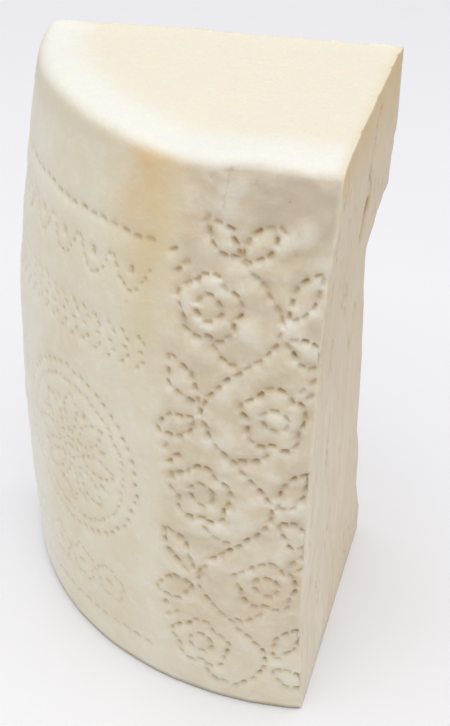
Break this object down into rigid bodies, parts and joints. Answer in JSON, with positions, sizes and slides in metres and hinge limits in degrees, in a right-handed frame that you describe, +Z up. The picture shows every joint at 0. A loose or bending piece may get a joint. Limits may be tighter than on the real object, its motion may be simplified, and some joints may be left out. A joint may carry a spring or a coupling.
{
  "type": "pecorino romano chunk",
  "caption": "Upright wedge of hard white sheep's milk cheese for grating and slicing, with a barrel-shaped pressed rind and a broken upright edge.",
  "frame": {"origin": "centre of the bounding box's base, on the surface that the wedge stands on", "axes": "+Z up; -Y towards the front of the curved rind; +X towards the upright edge where the two cuts meet"},
  "size_m": [0.193, 0.1842, 0.3],
  "materials": {
    "cheese": "matte ivory cheese, pale brined rind on the curved side and a fine striated cut on the flat sides"
  },
  "bodies": {
    "root": {"cheese_chunk": "cheese"}
  },
  "joints": []
}
